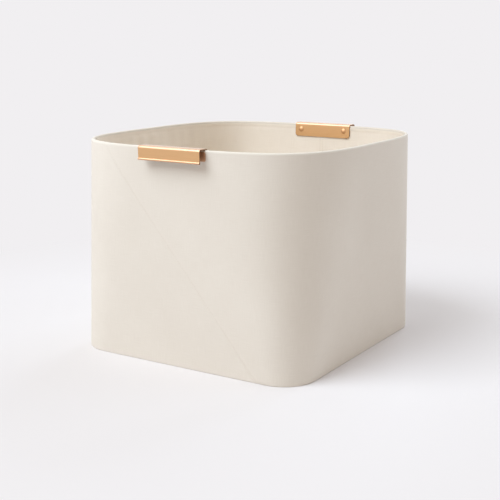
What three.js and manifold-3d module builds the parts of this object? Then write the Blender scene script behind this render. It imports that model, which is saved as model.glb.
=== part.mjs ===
// A square fabric storage bin: a stiff board wall and floor, wrapped in a sewn fabric cover,
// lined with fabric, with two folded brass handles riveted over the rim.
//
// Millimetres, +Z up. The origin lies on the surface the bin stands on, under its centre.
// The front wall faces -Y and carries one handle; the back wall carries the other.

import * as THREE from 'three';
import { mergeVertices } from 'three/addons/utils/BufferGeometryUtils.js';
import Module from 'manifold-3d';

const wasm = await Module();
wasm.setup();

// ---- Driving dimensions: outline ----------------------------------------------------

const baseWidth = 330; // outside of the cover at the floor, along X
const baseDepth = 341.5; // the same along Y
const baseCornerRadius = 43; // the floor outline is a rounded rectangle
const rimWidth = 355.6; // outside of the cover at the rim, along X
const rimDepth = 362; // the same along Y
const rimSquareness = 3.68; // exponent of the rim's superellipse: 2 is an ellipse, more is squarer
const binHeight = 270.6; // floor to the top of the rolled rim

// ---- Driving dimensions: fabric and board -------------------------------------------

const coverThickness = 0.8;
const liningThickness = 0.8;
const wallBoardThickness = 2;
const baseBoardThickness = 2.5;
const basePanelThickness = 0.8; // fabric under the floor board
const baseLiningThickness = 0.8; // fabric over the floor board
const basePanelInset = 5; // from the foot of the wall to the edge of the fabric under the floor
const rimReturn = 1.5; // the cover's straight run down the inside, below its roll over the rim
const coverHem = 14; // how far the cover is turned in under the boards
const seatGap = 0.3; // between pieces that lie against each other

// ---- Driving dimensions: handles and rivets -----------------------------------------

const handleLength = 88;
const frontHandleX = 3; // middle of the front handle, from the middle of its wall
const backHandleX = 9; // the same for the back handle
const sheetThickness = 1.2; // folded brass sheet
const bendRadius = 1.8; // inside radius of the two folds over the rim
const innerLegHeight = 19.4; // top of the flange to the foot of the leg inside the bin
const innerLegCornerRadius = 4;
const outerLegHeight = 17; // top of the flange to the foot of the hemmed finger grip
const fingerGap = 9; // between the wall and the finger grip
const gripHemHeight = 2.6; // the grip's foot is folded up on the outside
const gripHemGap = 0.1; // between the two layers of that hem
const rivetSpacing = 69;
const rivetDrop = 9.5; // top of the flange to the middle of a rivet
const rivetShankRadius = 1.6;
const rivetHeadRadius = 4;
const rivetHeadHeight = 1.8;
const rivetTailRadius = 2.7;
const rivetTailHeight = 1.2;
const backingPlateThickness = 0.8; // on the outside of the wall, under both rivets' tails
const backingPlateLength = 91;
const backingPlateHeight = 11;
const backingPlateCornerRadius = 2;

// ---- Facets -------------------------------------------------------------------------

const stationsPerQuarter = 20; // lines up the wall in a quarter of the bin
const rollSegments = 6; // facets in the cover's half-round roll over the rim
const foldSegments = 2; // facets in the fold at the foot of the cover
const bendSegments = 5; // facets in each fold of a handle
const roundSegments = 20; // facets round a rivet
const domeSegments = 4; // facets from the top of a rivet's head to its edge

// ---- Sizes that follow --------------------------------------------------------------

const wallThickness = coverThickness + wallBoardThickness + liningThickness + 2 * seatGap;
const rollRadius = wallThickness / 2; // outside of the cover's roll over the rim
const rollCentreZ = binHeight - rollRadius;
const hemZ = basePanelThickness + seatGap; // underside of the cover's turned-in hem
const boardFootZ = hemZ + coverThickness + seatGap;
const boardInset = coverThickness + seatGap; // outside of the wall board
const liningInset = boardInset + wallBoardThickness + seatGap; // outside of the lining
const floorZ = boardFootZ + baseBoardThickness + seatGap; // underside of the lining
const liningTopZ = rollCentreZ - rimReturn - seatGap;

const wallLean = (rimDepth - baseDepth) / 2 / binHeight; // how far out the wall leans per mm of height
const flangeTopZ = binHeight + seatGap + sheetThickness;
const rivetZ = flangeTopZ - rivetDrop;
const rivetHoleRadius = rivetShankRadius + seatGap;

// ---- Materials ----------------------------------------------------------------------

const coverFabric = new THREE.MeshStandardMaterial({ color: 0xe6dfd4, roughness: 0.9, metalness: 0 });
const liningFabric = new THREE.MeshStandardMaterial({ color: 0xe2d9cb, roughness: 0.95, metalness: 0 });
const greyBoard = new THREE.MeshStandardMaterial({ color: 0xa89a86, roughness: 1, metalness: 0 });
const brass = new THREE.MeshStandardMaterial({ color: 0xd9ac78, roughness: 0.35, metalness: 1 });

// ---- Solids -------------------------------------------------------------------------

// A closed geometry as a solid that can be cut.
function solidOf(geometry) {
  const bare = geometry.clone();
  bare.deleteAttribute('normal');
  bare.deleteAttribute('uv');
  const merged = mergeVertices(bare);
  return new wasm.Manifold(new wasm.Mesh({
    numProp: 3,
    vertProperties: new Float32Array(merged.attributes.position.array),
    triVerts: new Uint32Array(merged.index.array),
  }));
}

function geometryOf(solid) {
  const mesh = solid.getMesh();
  const geometry = new THREE.BufferGeometry();
  geometry.setAttribute('position', new THREE.BufferAttribute(mesh.vertProperties, 3));
  geometry.setIndex(new THREE.BufferAttribute(mesh.triVerts, 1));
  return geometry;
}

// The geometry with every cutter taken out of it.
function cut(geometry, cutters) {
  const solid = cutters.reduce((rest, cutter) => rest.subtract(solidOf(cutter)), solidOf(geometry));
  return geometryOf(solid);
}

function namedMesh(name, geometry, material) {
  const mesh = new THREE.Mesh(geometry, material);
  mesh.name = name;
  return mesh;
}

// ---- The bin's outline --------------------------------------------------------------

// The board is bent and not stretched, so each straight line up the wall joins a point of the
// floor outline to the point of the rim outline that faces the same way. Both outlines are
// given by the angle that their outward normal makes with +X.

// A rounded rectangle.
function floorPoint(angle) {
  const [cos, sin] = [Math.cos(angle), Math.sin(angle)];
  return new THREE.Vector2(
    Math.sign(cos) * (baseWidth / 2 - baseCornerRadius) + baseCornerRadius * cos,
    Math.sign(sin) * (baseDepth / 2 - baseCornerRadius) + baseCornerRadius * sin,
  );
}

// A superellipse.
function rimPoint(angle) {
  const [cos, sin] = [Math.cos(angle), Math.sin(angle)];
  const power = 1 / (rimSquareness - 1);
  const across = (rimWidth / 2) * Math.abs(cos);
  const along = (rimDepth / 2) * Math.abs(sin);
  const reach = (across ** (1 + power) + along ** (1 + power)) ** (1 / rimSquareness);
  return new THREE.Vector2(
    (Math.sign(cos) * (rimWidth / 2) * across ** power) / reach,
    (Math.sign(sin) * (rimDepth / 2) * along ** power) / reach,
  );
}

// The normals at which the wall is taken. Each quarter turn runs from the middle of one wall to
// the middle of the next, and the rim turns slowly there, so its angles crowd at both ends.
function stationAngle(index) {
  const quarter = Math.floor(index / stationsPerQuarter);
  const fromCorner = (2 * (index % stationsPerQuarter) + 1) / stationsPerQuarter - 1;
  const turned = Math.sign(fromCorner) * (1 - (1 - Math.abs(fromCorner)) ** 2);
  return (Math.PI / 2) * (quarter + (1 + turned) / 2);
}

const stations = Array.from({ length: 4 * stationsPerQuarter }, (_, index) => stationAngle(index));

// The point of the wall that faces an angle, at a height, this far in from the cover's outside.
function wallPoint(angle, inset, z) {
  const facing = new THREE.Vector2(Math.cos(angle), Math.sin(angle));
  return floorPoint(angle).lerp(rimPoint(angle), z / binHeight).addScaledVector(facing, -inset);
}

// How far the middle of the front or back wall stands out at a height.
function wallFace(z) {
  return baseDepth / 2 + wallLean * z;
}

// How far the rim falls back from the middle of the front or back wall, this far along it.
function rimFallsBack(x) {
  return (rimDepth / 2) * (1 - (1 - (2 * x / rimWidth) ** rimSquareness) ** (1 / rimSquareness));
}

// ---- Lofted pieces ------------------------------------------------------------------

// The quads between neighbouring stations, for rows of vertices that run round the bin.
function bandFaces(rows, closed) {
  const faces = [];
  const count = stations.length;
  for (let row = 0; row < (closed ? rows : rows - 1); row += 1) {
    const above = (row + 1) % rows;
    for (let i = 0; i < count; i += 1) {
      const next = (i + 1) % count;
      const [a, b] = [row * count + i, row * count + next];
      const [c, d] = [above * count + next, above * count + i];
      faces.push(a, b, c, a, c, d);
    }
  }
  return faces;
}

function rowVertices([inset, z]) {
  return stations.flatMap((angle) => [...wallPoint(angle, inset, z), z]);
}

function indexed(vertices, faces) {
  const geometry = new THREE.BufferGeometry();
  geometry.setAttribute('position', new THREE.Float32BufferAttribute(vertices, 3));
  geometry.setIndex(faces);
  return geometry;
}

// A ring round the bin. Its section is a closed list of [inset, z] that runs up the outside,
// over the top and down the inside.
function ring(section) {
  return indexed(section.flatMap(rowVertices), bandFaces(section.length, true));
}

// A flat plate that follows the bin's outline at an inset, from one height to another.
function plate(inset, bottomZ, topZ) {
  const count = stations.length;
  const vertices = [...rowVertices([inset, bottomZ]), ...rowVertices([inset, topZ])];
  const faces = bandFaces(2, false);
  const [bottomCentre, topCentre] = [2 * count, 2 * count + 1];
  vertices.push(0, 0, bottomZ, 0, 0, topZ);
  for (let i = 0; i < count; i += 1) {
    const next = (i + 1) % count;
    faces.push(bottomCentre, next, i, topCentre, count + i, count + next);
  }
  return indexed(vertices, faces);
}

// [inset, z] points of an arc; angles in half turns, 0 towards the inside and 0.5 up.
function arc(centreInset, centreZ, radius, from, to, segments) {
  return Array.from({ length: segments + 1 }, (_, i) => {
    const angle = Math.PI * THREE.MathUtils.lerp(from, to, i / segments);
    return [centreInset + radius * Math.cos(angle), centreZ + radius * Math.sin(angle)];
  });
}

// The cover: up the outside from its fold, over the rim in a half-round roll, a short way
// down the inside, back up and over under the roll, down to the foot and in under the boards.
function coverGeometry() {
  return ring([
    ...arc(coverThickness, hemZ + coverThickness, coverThickness, 1.5, 1, foldSegments),
    ...arc(rollRadius, rollCentreZ, rollRadius, 1, 0, rollSegments),
    [wallThickness, rollCentreZ - rimReturn],
    [wallThickness - coverThickness, rollCentreZ - rimReturn],
    ...arc(rollRadius, rollCentreZ, rollRadius - coverThickness, 0, 1, rollSegments),
    [coverThickness, hemZ + coverThickness],
    [coverHem, hemZ + coverThickness],
    [coverHem, hemZ],
  ]);
}

// A straight-sided layer of the wall.
function wallLayer(inset, thickness, footZ, topZ) {
  return ring([[inset, footZ], [inset, topZ], [inset + thickness, topZ], [inset + thickness, footZ]]);
}

// ---- Handles ------------------------------------------------------------------------

// Distance from the bin's middle plane to the sheet's middle plane in each leg, at a height.
// Both handles are alike, so they clear the wall where the one further from the middle ends.
function innerLegAt(z) {
  const furthest = Math.max(Math.abs(frontHandleX), Math.abs(backHandleX));
  const wallEnd = rimFallsBack(handleLength / 2 + furthest);
  return wallFace(z) - wallThickness - seatGap - wallEnd - sheetThickness / 2;
}

function outerLegAt(z) {
  return wallFace(z) + fingerGap + sheetThickness / 2;
}

// A path through corners, with an arc of one radius at each corner that is not an end.
function filletedPath(corners, radius) {
  const path = new THREE.Path();
  path.moveTo(corners[0].x, corners[0].y);
  for (let i = 1; i < corners.length - 1; i += 1) {
    const arriving = corners[i].clone().sub(corners[i - 1]).normalize();
    const leaving = corners[i + 1].clone().sub(corners[i]).normalize();
    const turn = Math.atan2(arriving.cross(leaving), arriving.dot(leaving));
    const side = Math.sign(turn);
    const start = corners[i].clone().addScaledVector(arriving, -radius * Math.tan(Math.abs(turn) / 2));
    const centre = new THREE.Vector2(-arriving.y, arriving.x).multiplyScalar(side * radius).add(start);
    const from = Math.atan2(start.y - centre.y, start.x - centre.x);
    path.lineTo(start.x, start.y);
    path.absarc(centre.x, centre.y, radius, from, from + turn, side < 0);
  }
  path.lineTo(corners.at(-1).x, corners.at(-1).y);
  return path;
}

// The section of a sheet folded along a path through its middle.
function sheetShape(path, thickness, segments) {
  const left = [];
  const right = [];
  for (const curve of path.curves) {
    const steps = curve.type === 'LineCurve' ? 1 : segments;
    for (let i = 0; i <= steps; i += 1) {
      const tangent = curve.getTangent(i / steps);
      const normal = new THREE.Vector2(-tangent.y, tangent.x);
      left.push(curve.getPoint(i / steps).addScaledVector(normal, thickness / 2));
      right.push(curve.getPoint(i / steps).addScaledVector(normal, -thickness / 2));
    }
  }
  const outline = [...left, ...right.reverse()];
  return new THREE.Shape(outline.filter((point, i) => i === 0 || point.distanceTo(outline[i - 1]) > 1e-6));
}

// The handle's section, x outwards from the bin's middle plane and y up: up inside the bin,
// over the rim, down in front of the wall, and folded up on the outside in a closed hem.
function handlePath() {
  const flangeZ = flangeTopZ - sheetThickness / 2;
  const innerFootZ = flangeTopZ - innerLegHeight;
  const hemRadius = (sheetThickness + gripHemGap) / 2;
  const gripFootZ = flangeTopZ - outerLegHeight;
  const hemCentreZ = gripFootZ + hemRadius + sheetThickness / 2;
  const path = filletedPath([
    new THREE.Vector2(innerLegAt(innerFootZ), innerFootZ),
    new THREE.Vector2(innerLegAt(flangeZ), flangeZ),
    new THREE.Vector2(outerLegAt(flangeZ), flangeZ),
    new THREE.Vector2(outerLegAt(hemCentreZ), hemCentreZ),
  ], bendRadius + sheetThickness / 2);
  const hemX = outerLegAt(hemCentreZ);
  path.absarc(hemX + hemRadius, hemCentreZ, hemRadius, -Math.PI, 0, false);
  path.lineTo(hemX + 2 * hemRadius, gripFootZ + gripHemHeight);
  return path;
}

// Turns a shape drawn with x outwards and y up, extruded along z, to stand on the front wall
// with its length along X and its middle at x = 0.
function acrossFrontWall(geometry, length) {
  const turn = new THREE.Matrix4().makeBasis(
    new THREE.Vector3(0, -1, 0),
    new THREE.Vector3(0, 0, 1),
    new THREE.Vector3(-1, 0, 0),
  );
  return geometry.translate(0, 0, -length / 2).applyMatrix4(turn);
}

// What rounds off one lower corner of the inner leg: side is 1 at its +X end and -1 at its other.
function cornerCutter(side) {
  const footZ = flangeTopZ - innerLegHeight;
  const radius = innerLegCornerRadius;
  const margin = sheetThickness;
  const [end, start] = [handleLength / 2, handleLength / 2 - radius];
  const outline = [new THREE.Vector2(end + margin, footZ + radius), new THREE.Vector2(end + margin, footZ - margin)];
  outline.push(new THREE.Vector2(start, footZ - margin));
  for (let i = 0; i <= bendSegments; i += 1) {
    const angle = (Math.PI / 2) * (i / bendSegments - 1);
    outline.push(new THREE.Vector2(start + radius * Math.cos(angle), footZ + radius + radius * Math.sin(angle)));
  }
  outline.forEach((point) => { point.x *= side; });
  const depth = 4 * sheetThickness;
  const geometry = new THREE.ExtrudeGeometry(new THREE.Shape(outline), { depth, bevelEnabled: false });
  return geometry.rotateX(Math.PI / 2).translate(0, depth / 2 - innerLegAt(footZ), 0);
}

// ---- Rivets and backing plates ------------------------------------------------------

// Turns a revolved piece so that its axis, +Y as it is made, points out of the front wall at a
// rivet, square to the leaning wall, with y = 0 on the cover's outside.
function throughFrontWall(geometry, x) {
  return geometry
    .rotateX(Math.PI)
    .rotateX(Math.atan(wallLean))
    .translate(x, -wallFace(rivetZ), rivetZ);
}

function revolved(profile) {
  const points = profile.map(([radius, y]) => new THREE.Vector2(radius, y));
  return new THREE.LatheGeometry(points, roundSegments);
}

// A rivet: a domed head against the inner leg, a shank through the wall, and a tail that is
// set over the backing plate on the outside.
function rivetGeometry() {
  const headSeat = -(wallFace(rivetZ) - innerLegAt(rivetZ) + sheetThickness / 2 + seatGap);
  const tailSeat = backingPlateThickness + 2 * seatGap;
  const domeRadius = (rivetHeadRadius ** 2 + rivetHeadHeight ** 2) / (2 * rivetHeadHeight);
  const halfAngle = Math.asin(Math.min(1, rivetHeadRadius / domeRadius));
  const dome = Array.from({ length: domeSegments + 1 }, (_, i) => {
    const angle = (halfAngle * i) / domeSegments;
    const height = domeRadius * (Math.cos(angle) - Math.cos(halfAngle));
    return [domeRadius * Math.sin(angle), headSeat - height];
  });
  return revolved([
    ...dome,
    [rivetShankRadius, headSeat],
    [rivetShankRadius, tailSeat],
    [rivetTailRadius, tailSeat],
    [rivetTailRadius, tailSeat + rivetTailHeight / 2],
    [rivetTailRadius - rivetTailHeight / 2, tailSeat + rivetTailHeight],
    [0, tailSeat + rivetTailHeight],
  ]);
}

// The plate that spreads the pull of a handle's rivets over the wall. Its upper edge is level
// with the start of the cover's roll.
function backingPlateGeometry() {
  const radius = backingPlateCornerRadius;
  const end = backingPlateLength / 2 - radius;
  const top = rollCentreZ - rivetZ - radius;
  const foot = rollCentreZ - rivetZ - backingPlateHeight + radius;
  const outline = [];
  [[end, top], [-end, top], [-end, foot], [end, foot]].forEach(([x, z], corner) => {
    for (let i = 0; i <= bendSegments; i += 1) {
      const angle = (Math.PI / 2) * (corner + i / bendSegments);
      outline.push(new THREE.Vector2(x + radius * Math.cos(angle), z + radius * Math.sin(angle)));
    }
  });
  const settings = { depth: backingPlateThickness, bevelEnabled: false };
  return new THREE.ExtrudeGeometry(new THREE.Shape(outline), settings)
    .rotateX(Math.PI / 2)
    .translate(0, -seatGap, 0)
    .rotateX(Math.atan(wallLean))
    .translate(0, -wallFace(rivetZ), rivetZ);
}

// The hole for a rivet, through the inner leg and the wall but short of the finger grip.
function rivetHole() {
  const inner = wallFace(rivetZ) - innerLegAt(rivetZ) + 2 * sheetThickness;
  const outer = fingerGap / 2;
  return revolved([[0, -inner], [rivetHoleRadius, -inner], [rivetHoleRadius, outer], [0, outer]]);
}

// ---- Assembly -----------------------------------------------------------------------

const rivetSides = { left: -rivetSpacing / 2, right: rivetSpacing / 2 };

// One handle with its rivets and backing plate, as it sits on the front wall with its middle at x = 0.
function handleSet(wall) {
  const holes = Object.values(rivetSides).map((x) => throughFrontWall(rivetHole(), x));
  const sheet = new THREE.ExtrudeGeometry(
    sheetShape(handlePath(), sheetThickness, bendSegments),
    { depth: handleLength, bevelEnabled: false },
  );
  const folded = acrossFrontWall(sheet, handleLength);
  const set = new THREE.Group();
  set.add(namedMesh(`${wall}_handle`, cut(folded, [...holes, cornerCutter(1), cornerCutter(-1)]), brass));
  set.add(namedMesh(`${wall}_backing_plate`, cut(backingPlateGeometry(), holes), brass));
  for (const [side, x] of Object.entries(rivetSides)) {
    set.add(namedMesh(`${wall}_${side}_rivet`, throughFrontWall(rivetGeometry(), x), brass));
  }
  return set;
}

// The rivet holes of both walls, where the bin's own layers have them.
function wallRivetHoles() {
  return Object.values(rivetSides).flatMap((x) => [
    throughFrontWall(rivetHole(), x + frontHandleX),
    throughFrontWall(rivetHole(), x - backHandleX).rotateZ(Math.PI),
  ]);
}

const bin = new THREE.Group();
const holes = wallRivetHoles();

bin.add(namedMesh('outer_cover', cut(coverGeometry(), holes), coverFabric));
bin.add(namedMesh(
  'wall_board',
  cut(wallLayer(boardInset, wallBoardThickness, boardFootZ, rollCentreZ), holes),
  greyBoard,
));
bin.add(namedMesh(
  'lining_sleeve',
  cut(wallLayer(liningInset, liningThickness, floorZ, liningTopZ), holes),
  liningFabric,
));
bin.add(namedMesh('base_panel', plate(basePanelInset, 0, basePanelThickness), coverFabric));
bin.add(namedMesh('base_board', plate(liningInset, boardFootZ, boardFootZ + baseBoardThickness), greyBoard));
bin.add(namedMesh(
  'base_lining',
  plate(wallThickness + seatGap, floorZ, floorZ + baseLiningThickness),
  liningFabric,
));

const frontSet = handleSet('front');
frontSet.position.x = frontHandleX;
bin.add(frontSet);

const backSet = handleSet('back');
backSet.position.x = backHandleX;
backSet.rotation.z = Math.PI;
bin.add(backSet);

export default bin;
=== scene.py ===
"""The looks of a fabric storage bin with folded brass handles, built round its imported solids.

Metres, +Z up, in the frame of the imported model. The front wall faces -Y.
"""

import math

import bpy
import numpy as np
from mathutils import Matrix, Vector


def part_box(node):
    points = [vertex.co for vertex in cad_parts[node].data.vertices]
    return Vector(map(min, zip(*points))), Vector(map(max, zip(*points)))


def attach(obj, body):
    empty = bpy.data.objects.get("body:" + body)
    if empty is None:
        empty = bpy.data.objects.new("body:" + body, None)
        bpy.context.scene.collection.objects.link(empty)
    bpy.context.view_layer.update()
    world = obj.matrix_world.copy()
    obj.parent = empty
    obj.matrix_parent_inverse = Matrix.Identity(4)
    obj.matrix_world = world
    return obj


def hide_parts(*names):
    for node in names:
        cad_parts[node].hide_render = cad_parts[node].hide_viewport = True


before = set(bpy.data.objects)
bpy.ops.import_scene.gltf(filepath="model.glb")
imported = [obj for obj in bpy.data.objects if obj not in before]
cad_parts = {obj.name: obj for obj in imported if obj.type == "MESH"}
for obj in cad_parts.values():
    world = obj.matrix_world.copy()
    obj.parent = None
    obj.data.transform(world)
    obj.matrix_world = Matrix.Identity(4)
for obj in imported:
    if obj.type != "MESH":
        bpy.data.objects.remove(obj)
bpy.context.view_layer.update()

MM = 0.001

# ---- Sizes of the bin ----

BASE_WIDTH = 330 * MM
BASE_DEPTH = 341.5 * MM
BASE_CORNER_RADIUS = 43 * MM
RIM_WIDTH = 355.6 * MM
RIM_DEPTH = 362 * MM
RIM_SQUARENESS = 3.68
BIN_HEIGHT = 270.6 * MM

CLOTH = 0.8 * MM  # thickness of the cover and of the lining
SEAT_GAP = 0.3 * MM  # between pieces that rest on each other
WALL_THICKNESS = 4.2 * MM  # cover, board and lining
ROLL_RADIUS = WALL_THICKNESS / 2
ROLL_CENTRE_Z = BIN_HEIGHT - ROLL_RADIUS
RIM_RETURN = 1.5 * MM  # the cover's straight run down the inside of the rim
HEM_Z = 1.1 * MM  # underside of the hem that is turned in under the floor board
HEM_DEPTH = 14 * MM
HEM_FOLD_Z = 0.1 * MM  # the fold at the cover's foot is full, and hangs lower than the hem
HEM_FOLD_RADIUS = 0.9 * MM
HEM_FOLD_DEPTH = 4.4 * MM
LINING_TOP_Z = ROLL_CENTRE_Z - RIM_RETURN - SEAT_GAP
FLOOR_Z = 5 * MM  # where both linings stand, just above the floor board
LINING_INSET = 3.4 * MM  # from the cover's outside to the lining's hidden side
PANEL_INSET = 5 * MM  # from there to the edge of the panel under the bin
PANEL_THICKNESS = 0.8 * MM

WALL_LEAN = (RIM_DEPTH - BASE_DEPTH) / 2 / BIN_HEIGHT

HANDLE_LENGTH = 88 * MM
SHEET = 1.2 * MM  # thickness of the brass
BEND_RADIUS = 1.8 * MM
INNER_LEG_HEIGHT = 19.4 * MM
INNER_LEG_CORNER = 4 * MM
OUTER_LEG_HEIGHT = 17 * MM
FINGER_GAP = 9 * MM  # between the wall and the grip
GRIP_HEM_HEIGHT = 2.6 * MM
GRIP_HEM_GAP = 0.1 * MM
RIVET_DROP = 9.5 * MM  # from the top of the flange to the middle of a rivet


def middle_x(node):
    low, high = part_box(node)
    return (low.x + high.x) / 2


FLANGE_TOP_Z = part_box("front_handle")[1].z
HANDLE_X = {wall: middle_x(f"{wall}_handle") for wall in ("front", "back")}
RIVET_Z = FLANGE_TOP_Z - RIVET_DROP

# The slanting seam of the front wall, as a straight line from one (x, z) to another.
SEAM_TOP = (-104.5 * MM, 270 * MM)
SEAM_FOOT = (111.8 * MM, 0)
SEAM_RUN = (SEAM_FOOT[0] - SEAM_TOP[0]) / (SEAM_TOP[1] - SEAM_FOOT[1])  # towards +X per metre down
SEAM_SLANT = 1 / math.hypot(1, SEAM_RUN)  # square distance from the seam per metre along the wall

LINING_SEAM_X = 8 * MM  # the lining is closed near the middle of the back wall


# ---- The bin's outline ----

def crowded_facings(per_quarter):
    """Outward normals, from the middle of the front wall round to it again. They crowd near the
    middle of each wall, where the outline turns slowly."""
    from_corner = (2 * np.arange(per_quarter) + 1) / per_quarter - 1
    turned = np.sign(from_corner) * (1 - (1 - np.abs(from_corner)) ** 3)
    quarter = (math.pi / 4) * (1 + turned)
    angles = np.concatenate([quarter + (math.pi / 2) * (side - 1) for side in range(4)])
    return np.stack([np.cos(angles), np.sin(angles)], 1)


def floor_line(facing):
    """The outline at the floor, a rounded rectangle."""
    cos, sin = facing.T
    half = np.array([BASE_WIDTH, BASE_DEPTH]) / 2 - BASE_CORNER_RADIUS
    return np.stack([np.sign(cos) * half[0], np.sign(sin) * half[1]], 1) + BASE_CORNER_RADIUS * facing


def rim_line(facing):
    """The outline at the rim, a superellipse."""
    power = 1 / (RIM_SQUARENESS - 1)
    half = np.array([RIM_WIDTH, RIM_DEPTH]) / 2
    pull = half * np.abs(facing)
    reach = (pull ** (1 + power)).sum(1) ** (1 / RIM_SQUARENESS)
    return np.sign(facing) * half * pull ** power / reach[:, None]


def closed_at_front(line, half_depth):
    """The line with the middle of the front wall as its first and last point."""
    middle = [[0, -half_depth]]
    return np.concatenate([middle, line, middle])


FACING = crowded_facings(per_quarter=240)
FLOOR_LINE = closed_at_front(floor_line(FACING), BASE_DEPTH / 2)
RIM_LINE = closed_at_front(rim_line(FACING), RIM_DEPTH / 2)
FACING = closed_at_front(FACING, 1)


def steps_of(line):
    return np.linalg.norm(np.diff(line, axis=0), axis=1)


def distances(line):
    """How far along the line each of its points is."""
    return np.concatenate([[0], np.cumsum(steps_of(line))])


def sampled(values, travelled, where):
    """The values between those that are known at the distances travelled."""
    return np.stack([np.interp(where, travelled, column) for column in values.T], -1)


def travel(height):
    """The outline at a height, how far round it each of its points is, and its whole length."""
    level = height / BIN_HEIGHT
    line = (1 - level) * FLOOR_LINE + level * RIM_LINE
    length = steps_of(line).sum()
    return line, distances(line) / length, length


def outline(height, shares):
    """Points on the cover's outside at a height, and the way each faces. A share of 0 is the
    middle of the front wall, 0.25 the middle of the +X wall and 0.5 the middle of the back."""
    line, travelled, _ = travel(height)
    facing = sampled(FACING, travelled, np.mod(shares, 1))
    facing /= np.linalg.norm(facing, axis=1)[:, None]
    return sampled(line, travelled, np.mod(shares, 1)), facing


GIRTH = travel(BIN_HEIGHT / 2)[2]
CORNER = 0.125  # shares of the way round, from the middle of the front wall
BACK = 0.5


def smooth(value, low, high):
    """0 below low, 1 above high, and an even slope between them."""
    level = np.clip((value - low) / (high - low), 0, 1)
    return level * level * (3 - 2 * level)


def between(value, rise, fall):
    """1 between two even slopes, up over the span rise and down over the span fall."""
    return smooth(value, *rise) * (1 - smooth(value, *fall))


def hump(value, centre, width):
    return np.exp(-(((value - centre) / width) ** 2))


def ripples(rng, around, up, finest, count):
    """A sum of gentle waves that closes on itself round the bin, of about unit height.
    around is the most waves in a turn and up the most in the bin's height."""
    turns = rng.integers(finest, around, count)
    rises = rng.uniform(-up, up, count)
    phases = rng.uniform(0, 2 * math.pi, count)

    def height_of(shares, height):
        level = height / BIN_HEIGHT
        angles = [2 * math.pi * (t * shares + r * level) + p for t, r, p in zip(turns, rises, phases)]
        return np.sin(angles).sum(0) / math.sqrt(count)

    return height_of


# ---- Meshes ----

CREASE = math.radians(35)  # faces that turn by more meet in a hard edge


def add_mesh(name, vertices, faces, material, sharp=CREASE):
    """A smooth-shaded object with hard edges where its faces turn sharply."""
    mesh = bpy.data.meshes.new(name)
    mesh.from_pydata(vertices, [], faces)
    mesh.validate()
    mesh.polygons.foreach_set("use_smooth", [True] * len(mesh.polygons))
    mesh.set_sharp_from_angle(angle=sharp)
    mesh.materials.append(material)
    piece = bpy.data.objects.new(name, mesh)
    bpy.context.scene.collection.objects.link(piece)
    return piece


def grid_faces(rows, columns, close_rows=False):
    """Quads of a grid that closes on itself round its columns, and the row and the column of each
    of their corners, from before the last row and column close on the first."""
    quads = rows * columns if close_rows else (rows - 1) * columns
    row, column = np.divmod(np.arange(quads)[:, None], columns)
    row, column = row + [0, 0, 1, 1], column + [0, 1, 1, 0]
    return (row % rows * columns + column % columns).tolist(), row, column


def cloth_object(name, points, texture, material, close_rows=False, poles=()):
    """A grid that closes on itself round its columns. texture is each point's place on the cloth,
    in metres, with one more column for the way round, and one more row if the rows close too.
    poles are one point beyond the first row and one beyond the last, where the rows don't close."""
    rows, columns = points.shape[:2]
    faces, *corners = grid_faces(rows, columns, close_rows)
    places = texture[tuple(corners)].reshape(-1, 2).tolist()
    vertices = points.reshape(-1, 3).tolist()
    for row, pole in zip((0, rows - 1), poles):
        centre = len(vertices)
        vertices.append(list(pole))
        for column in range(columns):
            after = (column + 1) % columns
            pair = (after, column) if row == 0 else (column, after)
            faces.append([centre, row * columns + pair[0], row * columns + pair[1]])
            places += [list(pole[:2]), *(points[row, end, :2].tolist() for end in pair)]
    piece = add_mesh(name, vertices, faces, material)
    layer = piece.data.uv_layers.new(name="cloth")
    layer.uv.foreach_set("vector", np.array(places, np.float32).ravel())
    return piece


def closed_tube(name, rings, material, sharp=CREASE, inside_out=False):
    """A piece made of equal rings of points, with a face over each end."""
    columns = len(rings[0])
    faces = grid_faces(len(rings), columns)[0]
    faces.append(list(range(columns))[::-1])
    faces.append([(len(rings) - 1) * columns + column for column in range(columns)])
    if inside_out:
        faces = [face[::-1] for face in faces]
    return add_mesh(name, [point for ring in rings for point in ring], faces, material, sharp=sharp)


def arc(centre, radius, start, end, steps):
    """[inset, z] points of an arc; angles in half turns, 0 towards the inside and 0.5 up."""
    angles = math.pi * np.linspace(start, end, steps + 1)
    return [(centre[0] + radius * math.cos(a), centre[1] + radius * math.sin(a)) for a in angles]


def straight(start, end, steps):
    """Points from start to end, with neither of them."""
    return [tuple(np.add(start, np.subtract(end, start) * k / steps)) for k in range(1, steps)]


def wrapped_sheet(name, section, shares_at, relief, material):
    """Cloth that runs right round the bin. section is its closed outline of (inset, z), up its
    outside and down its inside; relief(shares, inset, z) is how far each point stands out."""
    lengths = distances(section + section[:1])
    points, texture = [], []
    for (inset, z), length in zip(section, lengths):
        shares = shares_at(z)
        line, facing = outline(z, shares)
        line = line + facing * (relief(shares, inset, z) - inset)[:, None]
        points.append(np.column_stack([line, np.full(len(line), z)]))
        around = np.append(shares, shares[0] + 1) * GIRTH
        texture.append(np.column_stack([around, np.full(len(around), length)]))
    texture.append(np.column_stack([texture[0][:, 0], np.full(len(texture[0]), lengths[-1])]))
    return cloth_object(name, np.array(points), np.array(texture), material, close_rows=True)


FLOOR_COLUMNS = 240


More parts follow.
